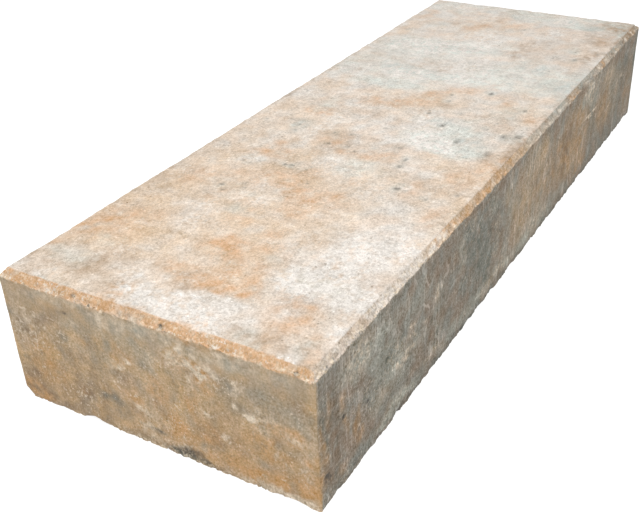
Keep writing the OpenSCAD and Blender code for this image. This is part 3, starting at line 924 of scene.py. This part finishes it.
def sand_effect():
    """Tone and relief of sand and cement, with bright grains and dark ones."""
    tree, given, result = new_group(
        "sand", [("Vector", VECTOR)], [("Tone", FLOAT), ("Fine", FLOAT), ("Height", FLOAT)]
    )
    vector = given["Vector"]
    broad = centred(tree, clouds(tree, vector, 22 * MM, 6, 0.85, seed=1))
    fine = centred(tree, clouds(tree, vector, 2.4 * MM, 2, 0.9, seed=2))
    grain = centred(tree, cells(tree, vector, 1 / (1.7 * MM))["Color"])
    bright = spread(tree, grain, 0.38, 0.5, 0.0, 0.42)
    dark = spread(tree, grain, -0.42, -0.5, 0.0, -0.4)

    tone = maths(tree, "MULTIPLY_ADD", fine, 1.6, maths(tree, "MULTIPLY", broad, 1.7))
    tone = maths(tree, "MULTIPLY_ADD", grain, 0.3, tone)
    tone = maths(tree, "ADD", maths(tree, "ADD", bright, dark), tone)
    height = maths(tree, "MULTIPLY_ADD", fine, 0.6 * MM, maths(tree, "MULTIPLY", broad, 1.1 * MM))
    height = maths(tree, "MULTIPLY_ADD", grain, 0.12 * MM, height)
    put(tree, result["Tone"], tone)
    put(tree, result["Fine"], fine)
    put(tree, result["Height"], height)
    return tree


def drag_effect():
    """Marks drawn out along one axis, as the mould and the screed leave them."""
    tree, given, result = new_group(
        "drag_marks", [("Vector", VECTOR), ("Along", VECTOR), ("Width", FLOAT)],
        [("Tone", FLOAT)],
    )
    drawn = vector_maths(tree, "MULTIPLY", given["Vector"], given["Along"])
    scale = maths(tree, "DIVIDE", 1.0, given["Width"])
    marks = centred(tree, noise_pattern(tree, drawn, scale, 4, 0.8))
    patches = clouds(tree, given["Vector"], 60 * MM, 3, 0.6, seed=7)
    strength = spread(tree, patches, 0.35, 0.65, 0.4, 1.6)
    put(tree, result["Tone"], maths(tree, "MULTIPLY", marks, strength))
    return tree


def scratch_effect():
    """Thin crisp lines drawn out along one axis, from 0 to 1."""
    tree, given, result = new_group(
        "scratches", [("Vector", VECTOR), ("Along", VECTOR), ("Width", FLOAT)],
        [("Mask", FLOAT)],
    )
    drawn = vector_maths(tree, "MULTIPLY", given["Vector"], given["Along"])
    scale = maths(tree, "DIVIDE", 0.18, given["Width"])
    waves = centred(tree, noise_pattern(tree, drawn, scale, 1, 0.5))
    line = spread(tree, maths(tree, "ABSOLUTE", waves), 0.024, 0.006)
    patches = clouds(tree, given["Vector"], 40 * MM, 4, 0.7, seed=17)
    put(tree, result["Mask"], maths(tree, "MULTIPLY", line, spread(tree, patches, 0.42, 0.62)))
    return tree


def pore_effect():
    """Small round holes: where they are, from 0 to 1."""
    tree, given, result = new_group(
        "pores", [("Vector", VECTOR), ("Spacing", FLOAT)], [("Mask", FLOAT)]
    )
    cell = cells(tree, given["Vector"], maths(tree, "DIVIDE", 1.0, given["Spacing"]))
    size = spread(tree, cell["Color"], 0.55, 1.0, 0.0, 0.13)
    hole = maths(tree, "SUBTRACT", size, cell["Distance"])
    put(tree, result["Mask"], spread(tree, hole, 0.0, 0.03))
    return tree


def fleck_effect():
    """Ragged flecks a few millimetres across, in clusters: pale ones and dark ones."""
    tree, given, result = new_group(
        "flecks", [("Vector", VECTOR)], [("Pale", FLOAT), ("Dark", FLOAT)]
    )
    small = clouds(tree, given["Vector"], 4 * MM, 2, 0.75, seed=11)
    clusters = clouds(tree, given["Vector"], 45 * MM, 3, 0.6, seed=13)
    both = maths(tree, "MULTIPLY_ADD", clusters, 0.6, small)
    put(tree, result["Pale"], spread(tree, both, 0.93, 0.98))
    put(tree, result["Dark"], spread(tree, both, 0.69, 0.61))
    return tree


# ---------------------------------------------------------------- the concrete

# Each colour is given twice: as it is on the pale tread and on the darker sides.
WARM = (0.83, 0.703, 0.588, 1), (0.375, 0.292, 0.22, 1)
COOL = (0.82, 0.762, 0.695, 1), (0.338, 0.325, 0.278, 1)
STAINS_AND_SHADE = [
    # name, on the tread, on the sides, size of its clouds, how patchy it is
    ("tan", (0.80, 0.618, 0.444, 1), (0.70, 0.492, 0.282, 1), 20 * MM, 2.4),
    ("slate", (0.62, 0.65, 0.605, 1), (0.228, 0.238, 0.203, 1), 14 * MM, 3.2),
    ("umber", (0.50, 0.37, 0.26, 1), (0.285, 0.205, 0.137, 1), 10 * MM, 3.4),
    ("ochre", (0.745, 0.478, 0.285, 1), (0.66, 0.395, 0.185, 1), 13 * MM, 4.0),
    ("frost", (0.805, 0.825, 0.76, 1), (0.50, 0.495, 0.42, 1), 14 * MM, 3.4),
    ("bloom", (0.90, 0.845, 0.78, 1), (0.88, 0.74, 0.57, 1), 7 * MM, 6.0),
    # The near-black layer is painted shade in the dark pits, not a stain
    ("pit_shade", (0.17, 0.165, 0.14, 1), (0.10, 0.09, 0.075, 1), 4 * MM, 3.5),
]
PALE_FLECK = (0.87, 0.81, 0.74, 1), (0.82, 0.70, 0.55, 1)
DARK_FLECK = (0.58, 0.50, 0.42, 1), (0.33, 0.28, 0.21, 1)
# Crumbs: their paler colour with painted highlight. Pits: painted shadow in them and under the crumbs
PALE_CRUMB_AND_GLINT = (0.93, 0.79, 0.61, 1)
SHADE_IN_PITS = (0.13, 0.11, 0.08, 1)


def concrete():
    """Stained, crumbled and flecked, with the relief of sand, drag marks and pores. The pores,
    the dark pits and the crumbs carry painted shade, and the crumbs painted highlight as well.
    """
    material = bpy.data.materials.new("cast_concrete")
    material.use_nodes = True
    tree = material.node_tree
    shader = tree.nodes["Principled BSDF"]
    where = add(tree, "ShaderNodeTexCoord").outputs["Object"]
    riser = painted(tree, "riser")
    sand = use_group(tree, sand_effect(), vector=where)
    pores = use_group(tree, pore_effect(), vector=where, spacing=14 * MM)["Mask"]
    drag, scratches, screed = drawn_marks(tree, where, riser)

    colour = stained_and_shaded(tree, where, riser)
    colour = crumbled_glint_and_shade(tree, where, colour)
    colour = flecked(tree, where, riser, colour)
    tone = maths(tree, "MULTIPLY", sand["Tone"], painted(tree, "coarse"))
    # The pores lower the tone: painted shade in the holes
    for mark, strength in ((sand["Fine"], painted(tree, "drag")), (drag, 0.55),
                           (scratches, 0.6), (screed, 0.4), (pores, -0.4)):
        tone = maths(tree, "MULTIPLY_ADD", mark, strength, tone)
    put(tree, shader.inputs["Base Color"], lighten(tree, colour, tone))
    put(tree, shader.inputs["Roughness"], spread(tree, sand["Tone"], -0.3, 0.3, 0.82, 0.96))
    put(tree, shader.inputs["Specular IOR Level"], 0.3)

    height = maths(tree, "MULTIPLY_ADD", drag, 1.0 * MM, sand["Height"])
    height = maths(tree, "MULTIPLY_ADD", pores, -0.6 * MM, height)
    bump = add(tree, "ShaderNodeBump")
    put(tree, bump.inputs["Distance"], 1.0)
    put(tree, bump.inputs["Strength"], 0.9)
    put(tree, bump.inputs["Height"], height)
    put(tree, shader.inputs["Normal"], bump.outputs["Normal"])
    return material


def stained_and_shaded(tree, where, riser):
    """Warm and cool concrete with the stains, and the painted shade of the dark pits, laid
    over it one after another.
    """
    blend = spread(tree, clouds(tree, where, 24 * MM, 1.5, 0.5, seed=8), 0.3, 0.7)
    colour = mix(tree, blend, mix(tree, riser, *WARM), mix(tree, riser, *COOL))
    stain_and_shade = stain_and_shade_effect()
    for number, (name, on_tread, on_side, size, contrast) in enumerate(STAINS_AND_SHADE):
        pattern = clouds(tree, where, size, 1.5, 0.5, seed=number)
        colour = use_group(
            tree, stain_and_shade, below=colour, colour=mix(tree, riser, on_tread, on_side),
            mask=painted(tree, name), clouds=pattern, contrast=contrast,
        )["Colour"]
    return colour


def crumbled_glint_and_shade(tree, where, colour):
    """Pale crumbs and dark pits on the chamfer, along its foot and at the bottom edge. The crumbs'
    paleness is partly their own colour and partly painted highlight where they catch the light;
    the pits' dark is painted shadow in them and under the crumbs.
    """
    runs = spread(tree, clouds(tree, where, 28 * MM, 3, 0.6, seed=10), 0.38, 0.62, 0.15, 1.0)
    lip = maths(tree, "MULTIPLY", painted(tree, "lip"), runs)
    crumbs_glint_and_shade = painted(tree, "crumbs_glint_and_shade")

    # Pale crumbs and lip: partly their paler colour, partly painted highlight where they catch the light
    grit = spread(tree, clouds(tree, where, 5 * MM, 3, 0.7, seed=9), 0.52, 0.58)
    pale = maths(tree, "MULTIPLY_ADD", crumbs_glint_and_shade, 0.4, lip, clamp=True)
    colour = mix(tree, maths(tree, "MULTIPLY", pale, grit), colour, PALE_CRUMB_AND_GLINT)

    # Painted shadow in the pits and under the crumbs along the lip
    pit_shadows = spread(tree, clouds(tree, where, 3.2 * MM, 1, 0.5, seed=12), 0.38, 0.32)
    dark = maths(tree, "MULTIPLY_ADD", crumbs_glint_and_shade, 0.2, maths(tree, "MULTIPLY", lip, lip), clamp=True)
    dark = maths(tree, "MULTIPLY", maths(tree, "MULTIPLY", dark, pit_shadows), 0.9)
    return mix(tree, dark, colour, SHADE_IN_PITS)


def flecked(tree, where, riser, colour):
    """Pale flecks and dark ones, each a little darker on the sides."""
    flecks = use_group(tree, fleck_effect(), vector=where)
    pale = maths(tree, "MULTIPLY", flecks["Pale"], painted(tree, "flecked"))
    colour = mix(tree, pale, colour, mix(tree, riser, *PALE_FLECK))
    dark = maths(tree, "MULTIPLY", flecks["Dark"], 0.3)
    return mix(tree, dark, colour, mix(tree, riser, *DARK_FLECK))


def drawn_marks(tree, where, riser):
    """Tones of the mould's drag marks and of scratches, on the sides, and of the screed's
    marks, on the tread."""
    on_sides = painted(tree, "drag")
    marks = drag_effect()
    drag = use_group(tree, marks, vector=where, along=(1, 1, 0.05), width=5 * MM)["Tone"]
    drag = maths(tree, "MULTIPLY", drag, on_sides)
    screed = use_group(tree, marks, vector=where, along=(1, 0.1, 1), width=35 * MM)["Tone"]
    screed = maths(tree, "MULTIPLY", screed, maths(tree, "SUBTRACT", 1.0, riser))

    scratch = scratch_effect()
    straight = use_group(tree, scratch, vector=where, along=(1, 1, 0.05), width=2 * MM)["Mask"]
    curved = use_group(tree, scratch, vector=where, along=(1, 1, 0.35), width=4 * MM)["Mask"]
    scratches = maths(tree, "MAXIMUM", straight, curved)
    scratches = maths(tree, "MULTIPLY", scratches, spread(tree, on_sides, 0.5, 1))
    return drag, scratches, screed


# ---------------------------------------------------------------- floor, light, camera

WHITE = (1, 1, 1, 1)
# The floor's paleness as it lights the step, and as the camera sees it
FLOOR_TO_THE_STEP = (0.75, 0.75, 0.75, 1)
FLOOR_TO_THE_CAMERA = (0.4, 0.4, 0.4, 1)


def seen_directly(tree):
    """1 where the camera sees the surface, or sees it in gloss or through glass."""
    rays = add(tree, "ShaderNodeLightPath").outputs
    seen = maths(tree, "MAXIMUM", rays["Is Camera Ray"], rays["Is Glossy Ray"])
    return maths(tree, "MAXIMUM", seen, rays["Is Transmission Ray"])


def floor_finish():
    """Pale and matt, and white to the camera except where the step shades it."""
    material = bpy.data.materials.new("white_floor")
    material.use_nodes = True
    tree = material.node_tree
    shader = tree.nodes["Principled BSDF"]
    seen = seen_directly(tree)
    put(tree, shader.inputs["Base Color"], mix(tree, seen, FLOOR_TO_THE_STEP, FLOOR_TO_THE_CAMERA))
    put(tree, shader.inputs["Roughness"], 1.0)
    put(tree, shader.inputs["Specular IOR Level"], 0.0)
    put(tree, shader.inputs["Emission Color"], WHITE)
    put(tree, shader.inputs["Emission Strength"], maths(tree, "MULTIPLY", seen, 0.85))
    return material


def studio():
    """A white floor, even light all round and one soft lamp above the left end."""
    deselect_all()
    bpy.ops.mesh.primitive_plane_add(size=30, location=(0, 0, LOW.z - 0.2 * MM))
    floor = bpy.context.object
    floor.name = "studio_floor"
    floor.data.materials.append(floor_finish())

    world = bpy.data.worlds.new("studio_air")
    world.use_nodes = True
    tree = world.node_tree
    air = tree.nodes["Background"].inputs
    put(tree, air["Color"], WHITE)
    put(tree, air["Strength"], spread(tree, seen_directly(tree), 0.0, 1.0, 0.42, 1.0))
    bpy.context.scene.world = world

    soft_box("key_light", place=(-1.25, -0.55, 3.1), size=2.2, watts=71)


def soft_box(name, place, size, watts):
    lamp = bpy.data.lights.new(name, "AREA")
    lamp.shape = "SQUARE"
    lamp.size = size
    lamp.energy = watts
    light = bpy.data.objects.new(name, lamp)
    light.location = place
    light.rotation_euler = (-Vector(place)).to_track_quat("-Z", "Y").to_euler()
    bpy.context.scene.collection.objects.link(light)


def camera():
    """Looks down the step from beyond its left end, a little turned about its own axis."""
    place = Vector((-0.9838, -0.4884, 0.6045))
    looking = Vector((0.7454, 0.4345, -0.5055))
    roll = math.radians(-1.79)
    eye = bpy.data.objects.new("camera", bpy.data.cameras.new("camera"))
    turn = looking.to_track_quat("-Z", "Y").to_matrix() @ Matrix.Rotation(roll, 3, "Z")
    eye.matrix_world = Matrix.Translation(place) @ turn.to_4x4()
    eye.data.sensor_width = 36
    eye.data.lens = 52.43
    eye.data.shift_x = -0.0391
    eye.data.shift_y = -0.0172
    bpy.context.scene.collection.objects.link(eye)
    bpy.context.scene.camera = eye


# ---------------------------------------------------------------- the finished step

block = cast_block()
block.data.materials.append(concrete())
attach(block, "root")
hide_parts("block_step")

studio()
camera()
bpy.context.scene.view_settings.view_transform = "Standard"
